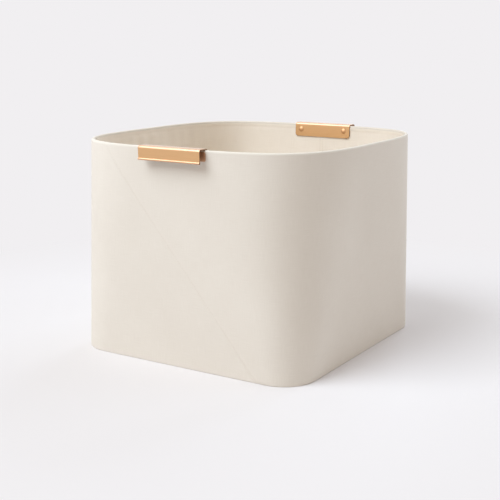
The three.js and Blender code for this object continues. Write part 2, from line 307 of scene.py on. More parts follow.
def flat_sheet(name, section, relief, material):
    """Cloth in the shape of the bin's floor. section is a list of (scale, inset, z, slack) from the
    middle of its underside, out round its edge and in to the middle of its top. relief(points,
    slack) is how far each point stands up."""
    shares = np.arange(FLOOR_COLUMNS) / FLOOR_COLUMNS
    points = []
    for scale, inset, z, slack in section:
        line, facing = outline(max(z, 0), shares)
        line = (line - facing * inset) * scale
        points.append(np.column_stack([line, z + relief(line, slack)]))
    points = np.array(points)
    texture = np.concatenate([points, points[:, :1]], 1)[..., :2]
    middle = np.zeros((1, 2))
    ends = [(0, 0, z + relief(middle, slack)[0]) for _, _, z, slack in (section[0], section[-1])]
    return cloth_object(name, points, texture, material, poles=ends)


STITCH_LENGTH = 2.5 * MM
STITCH_PITCH = 3.3 * MM
STITCH_DIVE = 2.2  # how deep a stitch's ends are, and how thick, in radii of the thread
STITCH_END_GIRTH = 0.55
STITCH_SIDES = 6
STITCH_STATIONS = 5


def stitch_run(name, line, facing, material, radius=0.2 * MM, lift=0.1 * MM):
    """A row of stitches along a line of points. facing is the way the cloth faces at each point.
    Each stitch rises out of the cloth, lies along it and dives back in."""
    line, facing = np.array(line), np.array(facing)
    travelled = distances(line)
    middles = np.arange(STITCH_PITCH / 2, travelled[-1] - STITCH_LENGTH / 2, STITCH_PITCH)
    stations = np.linspace(-0.5, 0.5, STITCH_STATIONS)
    rounds = 2 * math.pi * np.arange(STITCH_SIDES) / STITCH_SIDES
    skin = [[a, d, c, b] for a, b, c, d in grid_faces(STITCH_STATIONS, STITCH_SIDES)[0]]
    skin.append(list(range(STITCH_SIDES)))
    skin.append([STITCH_STATIONS * STITCH_SIDES - 1 - side for side in range(STITCH_SIDES)])
    vertices, faces = [], []
    for middle in middles:
        start, end = sampled(line, travelled, middle + np.array([-0.5, 0.5]) * STITCH_LENGTH)
        tangent = (end - start) / np.linalg.norm(end - start)
        outward = sampled(facing, travelled, middle)
        outward = outward - tangent * (outward @ tangent)
        outward /= np.linalg.norm(outward)
        sideways = np.cross(tangent, outward)
        faces += [[len(vertices) + corner for corner in face] for face in skin]
        for station in stations:
            rise = math.cos(math.pi * station)
            depth = radius * STITCH_DIVE * (rise - 1)
            at = sampled(line, travelled, middle + station * STITCH_LENGTH)
            girth = radius * (STITCH_END_GIRTH + (1 - STITCH_END_GIRTH) * rise)
            for angle in rounds:
                side = math.cos(angle) * sideways + math.sin(angle) * outward
                vertices.append(at + outward * (lift + depth) + girth * side)
    return add_mesh(name, [tuple(v) for v in vertices], faces, material, sharp=math.pi)


# ---- Materials ----

def linear(red, green, blue):
    """A colour given as it shows on a screen, 0 to 255, in the units that shaders take."""
    shown = np.array([red, green, blue]) / 255
    return (*np.where(shown <= 0.04045, shown / 12.92, ((shown + 0.055) / 1.055) ** 2.4), 1.0)


class Finish:
    """One material's nodes, with short calls for the kinds that the finishes share."""

    def __init__(self, name, **sockets):
        self.material = bpy.data.materials.new(name)
        self.material.use_nodes = True
        self.tree = self.material.node_tree
        self.tree.nodes.clear()
        self.output = self.node("OutputMaterial")
        self.shader = self.node("BsdfPrincipled", **sockets)
        self.join(self.shader.outputs[0], self.output.inputs["Surface"])

    def node(self, kind, **sockets):
        node = self.tree.nodes.new("ShaderNode" + kind)
        for name, value in sockets.items():
            self.feed(node.inputs[name.replace("_", " ")], value)
        return node

    def join(self, source, target):
        self.tree.links.new(source, target)

    def feed(self, socket, value):
        if isinstance(value, bpy.types.NodeSocket):
            self.join(value, socket)
        else:
            socket.default_value = value

    def maths(self, operation, *values):
        node = self.node("Math")
        node.operation = operation
        for socket, value in zip(node.inputs, values):
            self.feed(socket, value)
        return node.outputs[0]

    def scaled(self, vector, scale):
        node = self.node("VectorMath")
        node.operation = "MULTIPLY"
        self.feed(node.inputs[0], vector)
        node.inputs[1].default_value = scale
        return node.outputs[0]

    def noise(self, vector, scale=1.0, detail=2.0, roughness=0.5):
        node = self.node("TexNoise", Vector=vector, Scale=scale, Detail=detail, Roughness=roughness)
        return node.outputs["Fac"]

    def spread(self, value, low, high, start=0.0, end=1.0):
        """value, from start to end, stretched to run from low to high."""
        node = self.node("MapRange")
        for socket, number in zip(node.inputs[1:5], (start, end, low, high)):
            socket.default_value = number
        self.feed(node.inputs[0], value)
        return node.outputs[0]

    def blend(self, share, first, second):
        node = self.node("Mix")
        node.data_type = "RGBA"
        self.feed(node.inputs["Factor"], share)
        colours = [socket for socket in node.inputs if socket.type == "RGBA"]
        for socket, colour in zip(colours, (first, second)):
            self.feed(socket, colour)
        return next(socket for socket in node.outputs if socket.type == "RGBA")

    def place(self):
        return self.node("TexCoord").outputs["Object"]

    def cloth_place(self):
        node = self.node("UVMap")
        node.uv_map = "cloth"
        return node.outputs[0]

    def split(self, vector):
        node = self.node("SeparateXYZ")
        self.feed(node.inputs[0], vector)
        return node.outputs

    def bump(self, height, distance):
        node = self.node("Bump", Strength=1, Distance=distance, Height=height)
        self.join(node.outputs[0], self.shader.inputs["Normal"])

    def colour(self, value):
        self.join(value, self.shader.inputs["Base Color"])

    def roughness(self, value):
        self.join(value, self.shader.inputs["Roughness"])


THREAD_SHARE = 1 / 40  # width of a streak in the cloth, as a share of its length
WEAVE_SHARE = 0.35  # how much the crossings of the threads stand up beside the streaks
# Soft edge of the paler colour painted as a highlight on the cover's roll
HIGHLIGHT_EDGE = 1.2 * MM


def woven(name, light, dark, thread, relief, painted_highlight=None):
    """Plain-woven cloth. thread is the distance between threads and relief how far they stand up.
    painted_highlight is a colour and a span of the cloth's length, painted there as a paler highlight
    where the cloth rolls over an edge."""
    finish = Finish(name, Specular_IOR_Level=0.15, Sheen_Weight=0.04, Sheen_Roughness=0.45)
    place = finish.cloth_place()
    across, up, _ = finish.split(place)
    turn = math.pi / thread
    waves = [finish.maths("SINE", finish.maths("MULTIPLY", way, turn)) for way in (across, up)]
    weave = finish.maths("MULTIPLY", *waves)
    fine = 1 / thread
    warp = finish.noise(finish.scaled(place, (fine, fine * THREAD_SHARE, 1)))
    weft = finish.noise(finish.scaled(place, (fine * THREAD_SHARE, fine, 1)))
    threads = finish.maths("ADD", warp, weft)
    height = finish.maths("ADD", finish.maths("MULTIPLY", weave, WEAVE_SHARE), threads)
    finish.bump(height, relief)
    cloudy = finish.noise(place, scale=9.0, detail=3.0)
    thread_tone = finish.spread(threads, 0.0, 0.55, start=0.7, end=1.3)
    cloud_tone = finish.spread(cloudy, 0.0, 0.45, start=0.3, end=0.7)
    colour = finish.blend(finish.maths("ADD", thread_tone, cloud_tone), dark, light)
    # Over the given span the colour is painted paler: a painted highlight of the light on the roll.
    if painted_highlight:
        highlight_colour, start, end = painted_highlight
        rising = finish.spread(up, 0, 1, start - HIGHLIGHT_EDGE, start + HIGHLIGHT_EDGE)
        falling = finish.spread(up, 1, 0, end - HIGHLIGHT_EDGE, end + HIGHLIGHT_EDGE)
        colour = finish.blend(finish.maths("MULTIPLY", rising, falling), colour, highlight_colour)
    finish.colour(colour)
    finish.roughness(finish.spread(threads, 0.95, 0.82, start=0.7, end=1.3))
    return finish.material


def sewing_thread(name, light, dark):
    finish = Finish(name, Specular_IOR_Level=0.3, Sheen_Weight=0.2, Sheen_Roughness=0.4)
    fibres = finish.noise(finish.place(), scale=3000.0, detail=1.0)
    finish.colour(finish.blend(fibres, dark, light))
    finish.roughness(finish.spread(fibres, 0.9, 0.7))
    finish.bump(fibres, 0.03 * MM)
    return finish.material


def brass(name, dark, light, grain, smoothest, roughest, relief, **sockets):
    """Brass with faint smudges and with fine marks. grain is how many marks there are in a metre
    along x, y and z, and relief how deep they are."""
    finish = Finish(name, Metallic=1.0, **sockets)
    place = finish.place()
    marks = finish.noise(finish.scaled(place, grain), detail=3.0, roughness=0.6)
    smudge = finish.noise(place, scale=55.0, detail=3.0)
    finish.colour(finish.blend(marks, dark, light))
    rough = finish.spread(marks, smoothest, roughest)
    rougher = finish.spread(smudge, -0.03, 0.05, start=0.3, end=0.7)
    finish.roughness(finish.maths("ADD", rough, rougher))
    finish.bump(marks, relief)
    return finish.material


def paperboard():
    finish = Finish("paperboard", Specular_IOR_Level=0.2)
    place = finish.place()
    pulp = finish.noise(place, scale=900.0, detail=4.0, roughness=0.65)
    flecks = finish.noise(finish.scaled(place, (260, 260, 900)), detail=2.0)
    mottle = finish.maths("MULTIPLY", pulp, flecks)
    finish.colour(finish.blend(mottle, linear(128, 112, 92), linear(186, 170, 146)))
    finish.roughness(finish.spread(pulp, 0.98, 0.86))
    finish.bump(pulp, 0.08 * MM)
    return finish.material


# Distances up the cover's cloth, where a paler colour is painted as a highlight on the middle half of
# its roll over the rim.
ROLL_START = ROLL_CENTRE_Z - HEM_Z
HIGHLIGHT_START, HIGHLIGHT_END = (ROLL_START + share * math.pi * ROLL_RADIUS for share in (0.25, 0.75))

cover_cloth = woven("cover_cloth", linear(237, 230, 220), linear(228, 220, 209), 0.45 * MM, 0.02 * MM,
                    painted_highlight=(linear(242, 236, 226), HIGHLIGHT_START, HIGHLIGHT_END))
lining_cloth = woven("lining_cloth", linear(248, 240, 229), linear(238, 228, 215), 0.5 * MM, 0.03 * MM)
cover_thread = sewing_thread("cover_thread", linear(233, 225, 213), linear(216, 207, 194))
lining_thread = sewing_thread("lining_thread", linear(206, 194, 178), linear(170, 156, 138))

BRUSHED = (60, 5200, 5200)  # grains of the brass
ROLLED = (900, 2600, 2600)
EVEN = (2600, 2600, 2600)
brushed_brass = brass("brushed_brass", linear(219, 170, 115), linear(236, 191, 138),
                      BRUSHED, 0.36, 0.46, 0.012 * MM,
                      Anisotropic=0.35, Coat_Weight=1.0, Coat_Roughness=0.2, Coat_IOR=1.5)
# Paler, less saturated brass on the folds: the colour is a painted highlight.
fold_highlight_brass = brass("fold_highlight_brass", linear(214, 170, 134), linear(230, 188, 154),
                     BRUSHED, 0.46, 0.56, 0.012 * MM,
                     Coat_Weight=1.0, Coat_Roughness=0.35, Coat_IOR=1.4)
# Darker, browner brass on the side towards the wall: painted shade of the gap behind the grip.
shaded_wall_side_brass = brass("shaded_wall_side_brass", linear(160, 116, 80), linear(190, 146, 106),
                    ROLLED, 0.42, 0.58, 0.02 * MM)
plate_brass = brass("plate_brass", linear(204, 160, 124), linear(226, 184, 148),
                    ROLLED, 0.45, 0.6, 0.02 * MM)
# Dark brass on the sheet's cut ends: painted shade and dark reflection.
shaded_cut_brass = brass("shaded_cut_brass", linear(112, 82, 56), linear(150, 114, 80), EVEN, 0.45, 0.62, 0.03 * MM)
turned_brass = brass("turned_brass", linear(200, 154, 108), linear(222, 178, 132),
                     EVEN, 0.5, 0.6, 0.01 * MM, Coat_Weight=0.4, Coat_Roughness=0.4, Coat_IOR=1.5)
board = paperboard()


# ---- Cover ----

# The lap of the slanting seam, in distances from its stitches, square to them. The turned edge
# lies below them, and the seam's spare cloth is under the upper side.
LAP_RISE = (-3.4 * MM, 1.4 * MM)
LAP_FALL = (3 * MM, 15 * MM)
LAP_HEIGHT = 0.56 * MM
DOUBLED_LAP = 0.5 * MM  # how much more it stands out at the foot
DOUBLED_TO_Z = 70 * MM
SEAM_FULL_Z = 3 * MM  # below it there are no stitches and the lap flattens out
FLAT_TO_Z = HEM_FOLD_Z + 0.1 * MM  # nothing stands out below it

# Lines of points on the cover: square distances from the stitches, and how many more there are
# from there to each front corner and round the rest of the bin.
SEAM_LINES = np.array([-12, -8, -5.5, -4.2, -3.4, -3, -2.7, -2.45, -2.2, -1.9, -1.4, -0.9, -0.5, -0.25,
                       0, 0.25, 0.5, 0.9, 1.6, 3, 5, 8, 12, 17]) * MM
FRONT_COLUMNS = 26
OTHER_COLUMNS = 190

RIPPLE_HEIGHT = 0.14 * MM  # the ripples fade out towards the foot and the rim
RIPPLES_START = (2 * MM, 25 * MM)
RIPPLES_END = (235 * MM, 266 * MM)


def seam_share(z):
    """Where the slanting seam's stitches are, as a share of the way round."""
    x = SEAM_TOP[0] + (SEAM_TOP[1] - min(max(z, 0), SEAM_TOP[1])) * SEAM_RUN
    return x / travel(z)[2]


def cover_shares(z):
    """The cover's columns at a height: on the front wall they lean to follow the seam."""
    lines = seam_share(z) + SEAM_LINES / SEAM_SLANT / travel(z)[2]
    before = np.linspace(-CORNER, lines[0], FRONT_COLUMNS, endpoint=False)
    after = np.linspace(lines[-1], CORNER, FRONT_COLUMNS)[1:]
    rest = np.linspace(CORNER, 1 - CORNER, OTHER_COLUMNS)[1:-1]
    return np.concatenate([before, lines, after, rest])


def seam_relief(distance, z):
    """How far the cover stands out by its lapped seam, at a square distance from the stitches. The
    spare cloth under its upper side is doubled near the foot, where the hem is turned in."""
    doubled = 1 - smooth(z, 0, DOUBLED_TO_Z)
    return (LAP_HEIGHT + DOUBLED_LAP * doubled) * between(distance, LAP_RISE, LAP_FALL)


def add_cover():
    """One strip round the bin, rolled over the rim and turned in under the floor."""
    rolling = ripples(np.random.default_rng(11), around=22, up=0.8, finest=5, count=14)

    def relief(shares, inset, z):
        if inset > ROLL_RADIUS or z < FLAT_TO_Z:
            return np.zeros(len(shares))
        outer = 1 if inset < CLOTH / 2 or z > ROLL_CENTRE_Z else 0
        away = (np.mod(shares + 0.5, 1) - 0.5 - seam_share(z)) * travel(z)[2] * SEAM_SLANT
        waves = RIPPLE_HEIGHT * rolling(shares, z) * between(z, RIPPLES_START, RIPPLES_END)
        fade = between(z, (HEM_FOLD_Z, SEAM_FULL_Z), (ROLL_CENTRE_Z, BIN_HEIGHT))
        return waves + outer * fade * seam_relief(away, z)

    top = (ROLL_RADIUS, ROLL_CENTRE_Z)
    fold = (HEM_FOLD_RADIUS, HEM_FOLD_Z + HEM_FOLD_RADIUS)
    foot = (CLOTH, HEM_Z + CLOTH)
    edge = (WALL_THICKNESS - CLOTH / 2, ROLL_CENTRE_Z - RIM_RETURN + CLOTH / 2)
    section = [
        *arc(fold, HEM_FOLD_RADIUS, 1.5, 1, steps=8),
        *straight((0, fold[1]), (0, top[1]), steps=72),
        *arc(top, ROLL_RADIUS, 1, 0, steps=18),
        *arc(edge, CLOTH / 2, 0, -1, steps=6),
        *arc(top, ROLL_RADIUS - CLOTH, 0, 1, steps=12),
        *straight((CLOTH, top[1]), foot, steps=24),
        foot,
        (HEM_DEPTH, HEM_Z + CLOTH),
        (HEM_DEPTH, HEM_Z),
        (HEM_FOLD_DEPTH, HEM_Z),
    ]
    cover = wrapped_sheet("fabric_cover", section, cover_shares, relief, cover_cloth)
    line, facing = [], []
    for z in np.linspace(ROLL_CENTRE_Z - 1 * MM, SEAM_FULL_Z, num=160):
        share = np.array([seam_share(z)])
        point, face = outline(z, share)
        line.append([*(point[0] + face[0] * relief(share, 0, z)[0]), z])
        facing.append([*face[0], -WALL_LEAN])
    thread = stitch_run("cover_seam_thread", line, facing, cover_thread, radius=0.28 * MM)
    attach(cover, "root")
    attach(thread, "root")
    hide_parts("outer_cover")


# ---- Lining ----

LINING_SEAM_SIDE = np.array([0.35, 0.7, 1.2, 1.8, 2.4, 3, 4, 6, 9]) * MM  # lines of points beside it
LINING_SEAM_LINES = np.concatenate([-LINING_SEAM_SIDE[::-1], [0], LINING_SEAM_SIDE])
LINING_COLUMNS = 160  # lines from there to the middle of the front wall, on either side
LINING_STITCH_OFFSET = 2.2 * MM

# How far the lining stands in from the board: everywhere, by the upright folds of the -X wall and
# by the creases near the +X back corner. Their places are shares of the way round, with a reach.
LINING_SLACK = 0.28 * MM
FOLD_DEPTH = 0.5 * MM
FOLDED_WALL = (0.77, 0.13)
CREASE_DEPTH = 0.18 * MM
CREASED_CORNER = (0.40, 0.07)
CREASED_RISE = (190 * MM, 250 * MM)
HELD_RISE = (FLOOR_Z, 30 * MM)  # it is held flat at the floor and at the rim
HELD_FALL = (LINING_TOP_Z - 9 * MM, LINING_TOP_Z)

# Its seam is a low ridge with a groove down the middle, and its upper edge is turned and thicker.
RIDGE = (0.5 * MM, 4.5 * MM)  # height and reach
GROOVE = (0.55 * MM, 0.6 * MM)
SEAM_LIFT = 0.05 * MM
EDGE_DEPTH = 0.45 * MM
EDGE_RISE = (LINING_TOP_Z - 4.5 * MM, LINING_TOP_Z - 1 * MM)


def lining_seam_share(z):
    return BACK - LINING_SEAM_X / travel(z)[2]


def lining_shares(z):
    lines = lining_seam_share(z) + LINING_SEAM_LINES / travel(z)[2]
    before = np.linspace(0, lines[0], LINING_COLUMNS, endpoint=False)
    after = np.linspace(lines[-1], 1, LINING_COLUMNS + 2)[1:-1]
    return np.concatenate([before, lines, after])


def lining_relief(rng):
    """How far the lining stands in from the board."""
    folds = ripples(rng, around=70, up=0.5, finest=22, count=12)
    slack = ripples(rng, around=18, up=1.0, finest=4, count=8)
    crease = ripples(rng, around=20, up=26, finest=6, count=16)

    def relief(shares, z):
        held = between(z, HELD_RISE, HELD_FALL)
        folded = hump(np.mod(shares, 1), *FOLDED_WALL)
        creased = hump(np.mod(shares, 1), *CREASED_CORNER) * smooth(z, *CREASED_RISE)
        stand = LINING_SLACK * (1 + slack(shares, z))
        stand = stand + folded * FOLD_DEPTH * (1 + folds(shares, z))
        stand = stand + creased * CREASE_DEPTH * (1 + crease(shares, z))
        away = (shares - lining_seam_share(z)) * travel(z)[2]
        seam = RIDGE[0] * hump(away, 0, RIDGE[1]) - GROOVE[0] * hump(away, 0, GROOVE[1])
        edge = EDGE_DEPTH * smooth(z, *EDGE_RISE)
        return np.maximum(stand, 0) * held + np.maximum(seam + SEAM_LIFT, 0) * held + edge

    return relief


def add_lining():
    """The lining sleeve, whose upper edge laps over the end of the cover."""
    standing = lining_relief(np.random.default_rng(23))

    def relief(shares, inset, z):
        return -standing(shares, z) * smooth(inset, LINING_INSET + CLOTH / 4, LINING_INSET + CLOTH)

    inner = LINING_INSET + CLOTH
    lip = inner - 0.25 * MM
    lip_z = LINING_TOP_Z + 0.8 * MM
    lip_radius = (inner - lip) / 2
    soft = CLOTH / 2  # radius of its lower edge
    foot = (LINING_INSET + soft, FLOOR_Z + soft)
    edge_z, creased_z = LINING_TOP_Z - 5 * MM, LINING_TOP_Z - 60 * MM
    section = [
        *arc(foot, soft, 1.5, 1, steps=3),
        *straight((LINING_INSET, foot[1]), (LINING_INSET, LINING_TOP_Z), steps=24),
        (LINING_INSET, LINING_TOP_Z),
        (lip, LINING_TOP_Z),
        (lip, lip_z - 0.1 * MM),
        *arc(((lip + inner) / 2, lip_z - lip_radius), lip_radius, 0.75, 0, steps=3),
        *straight((inner, lip_z - lip_radius), (inner, edge_z), steps=14),
        *straight((inner, edge_z), (inner, creased_z), steps=36),
        *straight((inner, creased_z), (inner, foot[1]), steps=44),
        *arc(foot, soft, 0, -0.5, steps=3)[:-1],
    ]
    lining = wrapped_sheet("fabric_lining", section, lining_shares, relief, lining_cloth)
    threads = []
    for side, offset in (("left", LINING_STITCH_OFFSET), ("right", -LINING_STITCH_OFFSET)):
        line, facing = [], []
        for z in np.linspace(LINING_TOP_Z - 3 * MM, FLOOR_Z + 6 * MM, num=120):
            share = np.array([lining_seam_share(z) + offset / travel(z)[2]])
            point, face = outline(z, share)
            line.append([*(point[0] - face[0] * (inner + standing(share, z)[0])), z])
            facing.append([*(-face[0]), 0])
        name = f"lining_seam_thread_{side}"
        threads.append(stitch_run(name, line, facing, lining_thread, radius=0.16 * MM))
    for piece in (lining, *threads):
        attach(piece, "root")
    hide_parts("lining_sleeve")


FLOOR_RIPPLE_HEIGHT = 0.5 * MM
FLOOR_RIPPLES = 10
STEEPEST_RIPPLE = 60  # radians in a metre
EDGE_SOFTNESS = 0.3 * MM  # how far the corners of a laid cloth's edge are rounded in


def add_floor_lining():
    """The lining of the floor, tucked down at its edge."""
    rng = np.random.default_rng(31)
    waves = [(rng.uniform(-STEEPEST_RIPPLE, STEEPEST_RIPPLE, 2), rng.uniform(0, 2 * math.pi))
             for _ in range(FLOOR_RIPPLES)]

    def relief(points, slack):
        wavy = sum(np.sin(points @ pull + phase) for pull, phase in waves) / FLOOR_RIPPLES
        return FLOOR_RIPPLE_HEIGHT * (1 + wavy) * slack

    inset = WALL_THICKNESS + SEAT_GAP
    low, high = FLOOR_Z, FLOOR_Z + CLOTH
    scales = np.linspace(0.04, 0.94, num=26)
    section = [
        *((scale, inset, low, 1) for scale in scales),
        (0.975, inset, low, 0.5),
        (1, inset + EDGE_SOFTNESS, low, 0),
        (1, inset, low + CLOTH / 2, 0),
        (1, inset + EDGE_SOFTNESS, high - 0.1 * MM, 0),
        (0.99, inset, high, 0.15),
        (0.975, inset, high, 0.5),
        *((scale, inset, high, 1) for scale in scales[::-1]),
    ]
    cloth = flat_sheet("floor_lining", section, relief, lining_cloth)
    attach(cloth, "root")
    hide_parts("base_lining")


def add_under_panel():
    """The cloth under the bin, sewn on in a groove near its edge."""
    groove_inset = PANEL_INSET + 4 * MM
    groove_depth = 0.3 * MM
    section = [
        *((scale, groove_inset, 0, 0) for scale in np.linspace(0.05, 0.9, num=12)),
        (1, groove_inset + 1.6 * MM, 0, 0),
        (1, groove_inset + 0.8 * MM, 0, 0),
        (1, groove_inset, groove_depth, 0),
        (1, groove_inset - 0.8 * MM, 0, 0),
        (1, groove_inset - 1.6 * MM, 0, 0),
        (1, PANEL_INSET + EDGE_SOFTNESS, 0, 0),
        (1, PANEL_INSET, PANEL_THICKNESS / 2, 0),
        (1, PANEL_INSET + EDGE_SOFTNESS, PANEL_THICKNESS, 0),
        *((scale, PANEL_INSET, PANEL_THICKNESS, 0) for scale in np.linspace(0.95, 0.05, num=8)),
    ]
    panel = flat_sheet("under_panel", section, lambda points, _: np.zeros(len(points)), cover_cloth)
    line, facing = outline(0, np.linspace(0, 1, num=400))
    line = line - facing * groove_inset
    stitched = np.column_stack([line, np.full(len(line), groove_depth)])
    down = np.tile([0.0, 0.0, -1.0], (len(line), 1))
    thread = stitch_run("under_panel_thread", stitched, down, cover_thread, lift=0.02 * MM)
    for piece in (panel, thread):
        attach(piece, "root")
    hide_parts("base_panel")


# ---- Handles ----

def wall_face(z):
    """How far the middle of the front or back wall stands from the bin's middle plane."""
    return BASE_DEPTH / 2 + WALL_LEAN * z


def rim_falls_back(x):
    share = 1 - (2 * x / RIM_WIDTH) ** RIM_SQUARENESS
    return (RIM_DEPTH / 2) * (1 - share ** (1 / RIM_SQUARENESS))


def inner_leg_at(z):
    """Distance from the bin's middle plane to the middle of the sheet inside the bin."""
    furthest = max(abs(x) for x in HANDLE_X.values())
    wall_end = rim_falls_back(HANDLE_LENGTH / 2 + furthest)
    return wall_face(z) - WALL_THICKNESS - SEAT_GAP - wall_end - SHEET / 2


def outer_leg_at(z):
    return wall_face(z) + FINGER_GAP + SHEET / 2


def left_of(way):
    return np.array([-way[1], way[0]])


def filleted(corners, radius, steps):
    """Points and tangents of a path through corners, with an arc at each that isn't an end."""
    corners = [np.array(corner) for corner in corners]
    points, tangents = [corners[0]], []
    for before, corner, after in zip(corners, corners[1:], corners[2:]):
        arriving = (corner - before) / np.linalg.norm(corner - before)
        leaving = (after - corner) / np.linalg.norm(after - corner)
        left = left_of(arriving)
        turn = math.atan2(left @ leaving, arriving @ leaving)
        side = math.copysign(1, turn)
        start = corner - arriving * radius * math.tan(abs(turn) / 2)
        centre = start + left * side * radius
        if not tangents:
            tangents.append(arriving)
        for step in range(steps + 1):
            angle = turn * step / steps
            heading = arriving * math.cos(angle) + left * math.sin(angle)
            points.append(centre - side * radius * left_of(heading))
            tangents.append(heading)
    points.append(corners[-1])
    tangents.append(tangents[-1])
    return points, tangents


BEND_STEPS = 14
HEM_STEPS = 18
CORNER_POINTS = 9  # on a quarter turn, for a leg's corner and a plate's


def handle_path():
    """The middle of the sheet as [outwards, z] points with tangents: up inside the bin, over the
    rim, down in front of the wall, and folded up on the outside in a closed hem."""
    flange_z = FLANGE_TOP_Z - SHEET / 2
    foot_z = FLANGE_TOP_Z - INNER_LEG_HEIGHT
    hem_radius = (SHEET + GRIP_HEM_GAP) / 2
    grip_foot_z = FLANGE_TOP_Z - OUTER_LEG_HEIGHT
    hem_z = grip_foot_z + hem_radius + SHEET / 2
    hem_centre = np.array([outer_leg_at(hem_z) + hem_radius, hem_z])
    corners = [
        (inner_leg_at(foot_z), foot_z),
        (inner_leg_at(flange_z), flange_z),
        (outer_leg_at(flange_z), flange_z),
        (outer_leg_at(hem_z), hem_z),
    ]
    points, tangents = filleted(corners, BEND_RADIUS + SHEET / 2, BEND_STEPS)
    for step in range(1, HEM_STEPS + 1):
        angle = math.pi * (step / HEM_STEPS - 1)
        spoke = np.array([math.cos(angle), math.sin(angle)])
        points.append(hem_centre + hem_radius * spoke)
        tangents.append(left_of(spoke))
    points.append(np.array([points[-1][0], grip_foot_z + GRIP_HEM_HEIGHT]))
    tangents.append(np.array([0.0, 1.0]))
    return points, tangents


def with_inner_foot(points, tangents):
    """The path with stations added up the rounded corners of the inner leg, and each station's
    distance in from the ends of the handle."""
    start, heading = points[0], tangents[0]
    angles = np.linspace(0, math.pi / 2, CORNER_POINTS)
    feet = [start + heading * up for up in INNER_LEG_CORNER * (1 - np.cos(angles))]
    ins = [*(INNER_LEG_CORNER * (1 - np.sin(angles))), *([0.0] * (len(points) - 1))]
    return feet + points[1:], [heading] * len(feet) + tangents[1:], ins


EDGE_ROUND = 0.22 * MM
OPENING = ((0.0, 0.62), (0.06 * MM, 0.85))  # rise and thickness of the sheet's first two rings
BEAD_HEIGHT = 1.3 * MM
BEAD_TURN = 0.48 * math.pi


def sheet_loop():
    """The outline of the sheet cut across, as (share along it, distance in from the end, level)
    with level the distance from the sheet's middle, along one face and back along the other."""
    half = SHEET / 2
    curve = [(EDGE_ROUND * (1 - math.sin(a)), half - EDGE_ROUND * (1 - math.cos(a)))
             for a in np.linspace(0, math.pi / 2, num=4)]
    outward = [(along, EDGE_ROUND, half) for along in np.linspace(-1, 1, num=15)]
    outward += [(1, inset, level) for inset, level in curve[1:]]
    outward += [(1, inset, -level) for inset, level in curve[:0:-1]]
    return outward + [(-along, inset, -level) for along, inset, level in outward]


def rounded_hem(end):
    """Stations of the hem's last stretch, whose outer face curves in to the leg like a bead."""
    point, way, inset, _ = end
    to_leg = left_of(way) * SHEET / 2
    foot = point - way * BEAD_HEIGHT
    stations = []
    for angle in np.linspace(0, BEAD_TURN, num=9):
        squeeze = math.cos(angle)
        place = foot + way * BEAD_HEIGHT * math.sin(angle) + to_leg * (1 - squeeze)
        stations.append((place, way, inset, squeeze))
    return stations


HANDLE_CREASE = math.radians(50)
HANDLE_FINISHES = (brushed_brass, shaded_wall_side_brass, shaded_cut_brass, fold_highlight_brass)
OUTER_SIDE, SHADED_WALL_SIDE, SHADED_CUT_EDGE, FOLD_HIGHLIGHT = range(4)
FACES_END = 0.7  # parts of a face's normal, which tell where on the sheet the face lies
FACES_WALL = 0.3
HIGHLIGHT_NORMAL_RANGE = (0.2, 0.97)


def handle_finish(face):
    """Which finish a face has. The side towards the wall gets darker brass as painted shade, the cut
    ends dark brass as painted shade, and the folds paler brass as a painted highlight."""
    if abs(face.normal.x) > FACES_END or len(face.vertices) > 4:
        return SHADED_CUT_EDGE
    before_wall = -face.center.y > wall_face(face.center.z)
    by_flange = face.center.z > FLANGE_TOP_Z - SHEET - BEND_RADIUS
    faces_wall = face.normal.y > FACES_WALL or (by_flange and face.normal.z < -FACES_WALL)
    if before_wall and faces_wall:
        return SHADED_WALL_SIDE
    return FOLD_HIGHLIGHT if HIGHLIGHT_NORMAL_RANGE[0] < abs(face.normal.z) < HIGHLIGHT_NORMAL_RANGE[1] else OUTER_SIDE


def turn_to(wall):
    """The turn that takes what is drawn for the front wall to its own wall."""
    return Matrix.Rotation(math.pi if wall == "back" else 0, 4, "Z")


def add_handle(wall):
    """A handle folded from brass sheet. It is drawn for the front wall and turned for the back."""
    loop = sheet_loop()
    stations = [(*station, 1.0) for station in zip(*with_inner_foot(*handle_path()))]
    point, way, inset, _ = stations[0]
    opening = [(point + way * rise, way, inset + EDGE_ROUND * (1 - squeeze), squeeze)
               for rise, squeeze in OPENING]
    stations[0] = (point + way * EDGE_ROUND, way, inset, 1.0)
    rings = []
    for point, way, inset, squeeze in (*opening, *stations[:-1], *rounded_hem(stations[-1])):
        half = HANDLE_LENGTH / 2 - inset
        ring = [(along * (half - edge), point + left_of(way) * level * squeeze)
                for along, edge, level in loop]
        rings.append([(x, -place[0], place[1]) for x, place in ring])
    handle = closed_tube(f"grip_{wall}", rings, HANDLE_FINISHES[0], HANDLE_CREASE, inside_out=True)
    for material in HANDLE_FINISHES[1:]:
        handle.data.materials.append(material)
    for face in handle.data.polygons:
        face.material_index = handle_finish(face)
    handle.data.transform(Matrix.Translation((HANDLE_X[wall], 0, 0)) @ turn_to(wall))
    handle.data.update()
    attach(handle, "root")
    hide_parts(f"{wall}_handle")


# ---- Rivets and backing plates ----

RIVET_HEAD_RADIUS = 4 * MM
RIVET_HEAD_HEIGHT = 1.8 * MM
RIVET_SHANK_RADIUS = 1.6 * MM
RIVET_TAIL_RADIUS = 2.7 * MM
RIVET_TAIL_HEIGHT = 1.2 * MM
BACKING_PLATE_THICKNESS = 0.8 * MM
BACKING_PLATE_LENGTH = 91 * MM
BACKING_PLATE_HEIGHT = 11 * MM
BACKING_PLATE_CORNER = 2 * MM
SEAT_LIFT = 0.02 * MM  # keeps a rivet's faces clear of those they sit on
NEAR_ZERO = 0.02  # keeps the rings at a rivet's middle from closing to a point
ROUND_STEPS = 48
DOME_STEPS = 12
TAIL_STEPS = 6


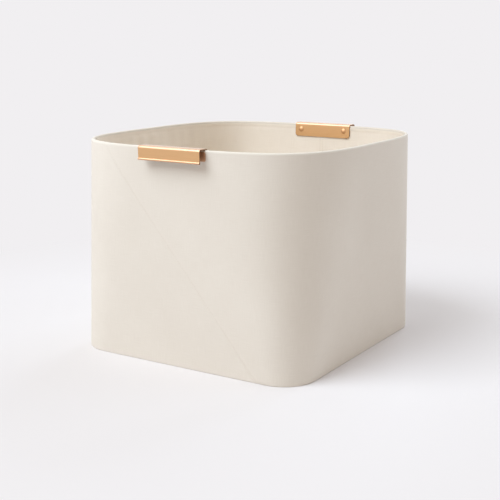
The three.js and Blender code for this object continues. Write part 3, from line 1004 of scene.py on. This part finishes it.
def stacked_rings(name, rings, node, wall, material):
    """A closed piece made of equal rings of (x, up the wall, out from the cover) points, square to
    the leaning wall. x is counted from the node's middle and the wall's length from the rivets."""
    turn = turn_to(wall)
    at = Vector((middle_x(node), 0, 0))
    out = Vector((0, -1, -WALL_LEAN)).normalized()
    up = Vector((0, -WALL_LEAN, 1)).normalized()
    base = Vector((0, -wall_face(RIVET_Z), RIVET_Z))
    placed = [[turn @ (base + Vector((x, 0, 0)) + up * rise + out * away) + at
               for x, rise, away in ring] for ring in rings]
    piece = closed_tube(name, placed, material)
    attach(piece, "root")
    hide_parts(node)


def add_rivet(wall, side):
    head_seat = -(wall_face(RIVET_Z) - inner_leg_at(RIVET_Z) + SHEET / 2 + SEAT_LIFT)
    tail_seat = BACKING_PLATE_THICKNESS + SEAT_GAP + SEAT_LIFT
    dome_radius = (RIVET_HEAD_RADIUS ** 2 + RIVET_HEAD_HEIGHT ** 2) / (2 * RIVET_HEAD_HEIGHT)
    half_angle = math.asin(RIVET_HEAD_RADIUS / dome_radius)
    profile = []
    for step in range(DOME_STEPS + 1):
        angle = half_angle * max(step, NEAR_ZERO) / DOME_STEPS
        profile.append((dome_radius * math.sin(angle),
                        head_seat - dome_radius * (math.cos(angle) - math.cos(half_angle))))
    profile += [
        (RIVET_SHANK_RADIUS, head_seat),
        (RIVET_SHANK_RADIUS, tail_seat),
        (RIVET_TAIL_RADIUS, tail_seat),
    ]
    for step in range(TAIL_STEPS + 1):
        angle = math.pi / 2 * step / TAIL_STEPS
        profile.append((RIVET_TAIL_RADIUS - RIVET_TAIL_HEIGHT / 2 * (1 - math.cos(angle)),
                        tail_seat + RIVET_TAIL_HEIGHT / 2 * (1 + math.sin(angle))))
    profile.append((NEAR_ZERO * MM, tail_seat + RIVET_TAIL_HEIGHT))
    turns = 2 * math.pi * np.arange(ROUND_STEPS) / ROUND_STEPS
    rings = [[(radius * math.cos(turn), radius * math.sin(turn), away) for turn in turns]
             for radius, away in profile]
    stacked_rings(f"rivet_{wall}_{side}", rings, f"{wall}_{side}_rivet", wall, turned_brass)


def add_backing_plate(wall):
    """The slim plate under a handle's rivet tails, with its upper edge where the roll begins."""
    middle = ROLL_CENTRE_Z - RIVET_Z - BACKING_PLATE_HEIGHT / 2
    half = np.array([BACKING_PLATE_LENGTH, BACKING_PLATE_HEIGHT]) / 2 - BACKING_PLATE_CORNER
    broken = 0.12 * MM
    low, high = SEAT_GAP, SEAT_GAP + BACKING_PLATE_THICKNESS
    corners = [(side_x, side_z, (math.pi / 2) * (quarter + step / (CORNER_POINTS - 1)))
               for quarter, (side_x, side_z) in enumerate([(1, 1), (-1, 1), (-1, -1), (1, -1)])
               for step in range(CORNER_POINTS)]
    rings = []
    for inset, away in ((broken, low), (0, low + broken), (0, high - broken), (broken, high)):
        radius = BACKING_PLATE_CORNER - inset
        rings.append([(side_x * half[0] + radius * math.cos(turn),
                       middle + side_z * half[1] + radius * math.sin(turn), away)
                      for side_x, side_z, turn in corners])
    stacked_rings(f"backing_plate_{wall}", rings, f"{wall}_backing_plate", wall, plate_brass)


# ---- Surroundings ----

CAMERA_PLACE = (0.6965, -1.1195, 0.4033)
CAMERA_DROP = 12.302  # degrees below level
CAMERA_TURN = 32.076  # degrees from square to the front wall
CAMERA_LENS = 72.337  # millimetres, for a sensor 36 wide
BACKDROP = linear(241, 239, 241)
ROOM_LIGHT = (0.34, 0.279, 0.21, 1)
FLOOR_COLOUR = linear(236, 233, 234)
FLOOR_REACH = 12
FLOOR_FADE = (0.22, 0.7)  # distances from the bin's middle
LAMP_DISTANCE = 3.8
LAMP_TARGET = Vector((0, 0, 0.13))


def add_camera():
    camera = bpy.data.objects.new("camera", bpy.data.cameras.new("camera"))
    bpy.context.scene.collection.objects.link(camera)
    camera.location = CAMERA_PLACE
    camera.rotation_euler = (math.radians(90 - CAMERA_DROP), 0, math.radians(CAMERA_TURN))
    camera.data.sensor_width = 36
    camera.data.lens = CAMERA_LENS
    camera.data.clip_end = 50
    bpy.context.scene.camera = camera


def seen_directly(tree):
    """1 for what the camera sees, also in metal or through glass, and 0 for light on the object."""
    path = tree.nodes.new("ShaderNodeLightPath")
    total = path.outputs["Is Camera Ray"]
    for name in ("Is Glossy Ray", "Is Transmission Ray"):
        most = tree.nodes.new("ShaderNodeMath")
        most.operation = "MAXIMUM"
        tree.links.new(total, most.inputs[0])
        tree.links.new(path.outputs[name], most.inputs[1])
        total = most.outputs[0]
    return total


def add_world():
    world = bpy.data.worlds.new("studio")
    bpy.context.scene.world = world
    world.use_nodes = True
    nodes, links = world.node_tree.nodes, world.node_tree.links
    nodes.clear()
    mix = nodes.new("ShaderNodeMixShader")
    links.new(seen_directly(world.node_tree), mix.inputs[0])
    for socket, colour in zip(mix.inputs[1:], (ROOM_LIGHT, BACKDROP)):
        background = nodes.new("ShaderNodeBackground")
        background.inputs["Color"].default_value = colour
        background.inputs["Strength"].default_value = 1
        links.new(background.outputs[0], socket)
    links.new(mix.outputs[0], nodes.new("ShaderNodeOutputWorld").inputs[0])


def add_floor():
    """A wide pale floor that fades into the backdrop some way from the bin."""
    finish = Finish("studio_floor", Base_Color=FLOOR_COLOUR, Roughness=1, Specular_IOR_Level=0.0)
    far = finish.node("Emission", Color=BACKDROP)
    x, y, _ = finish.split(finish.place())
    squares = [finish.maths("POWER", way, 2) for way in (x, y)]
    distance = finish.maths("SQRT", finish.maths("ADD", *squares))
    fade = finish.spread(distance, 0, 1, *FLOOR_FADE)
    mix = finish.node("MixShader")
    shares = finish.maths("MULTIPLY", fade, seen_directly(finish.tree))
    for source, socket in zip((shares, finish.shader.outputs[0], far.outputs[0]), mix.inputs):
        finish.join(source, socket)
    finish.join(mix.outputs[0], finish.output.inputs["Surface"])
    corners = [(x * FLOOR_REACH, y * FLOOR_REACH, 0) for x, y in ((-1, -1), (1, -1), (1, 1), (-1, 1))]
    add_mesh("studio_floor", corners, [[0, 1, 2, 3]], finish.material)


def add_area_light(name, azimuth, elevation, size, strength):
    """A soft square lamp. Azimuth is counted from the front wall's side towards -X, in degrees.
    A strength of 1 lights a surface that faces the lamp at the bin as a white sky would."""
    turn, lift = math.radians(azimuth), math.radians(elevation)
    level = math.cos(lift)
    away = Vector((-math.sin(turn) * level, -math.cos(turn) * level, math.sin(lift)))
    lamp = bpy.data.lights.new(name, "AREA")
    lamp.shape = "SQUARE"
    lamp.size = size
    lamp.energy = max(strength) * (math.pi * LAMP_DISTANCE) ** 2
    lamp.color = [channel / max(strength) for channel in strength]
    light = bpy.data.objects.new(name, lamp)
    bpy.context.scene.collection.objects.link(light)
    light.location = LAMP_TARGET + away * LAMP_DISTANCE
    light.rotation_euler = away.to_track_quat("Z", "Y").to_euler()
    light.visible_camera = False


# ---- Assembly ----

bpy.context.scene.view_settings.view_transform = "Standard"
add_camera()
add_world()
add_floor()
add_area_light("key", azimuth=30, elevation=50, size=2.6, strength=(0.81, 0.89, 0.965))
add_area_light("back", azimuth=180, elevation=30, size=2.35, strength=(0.33, 0.386, 0.45))
add_area_light("fill", azimuth=-130, elevation=30, size=2.35, strength=(0.185, 0.21, 0.242))

add_cover()
add_lining()
add_floor_lining()
add_under_panel()
for wall in ("front", "back"):
    add_handle(wall)
    add_backing_plate(wall)
    for side in ("left", "right"):
        add_rivet(wall, side)
for node in ("wall_board", "base_board"):
    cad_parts[node].data.materials.clear()
    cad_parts[node].data.materials.append(board)

bpy.context.view_layer.update()
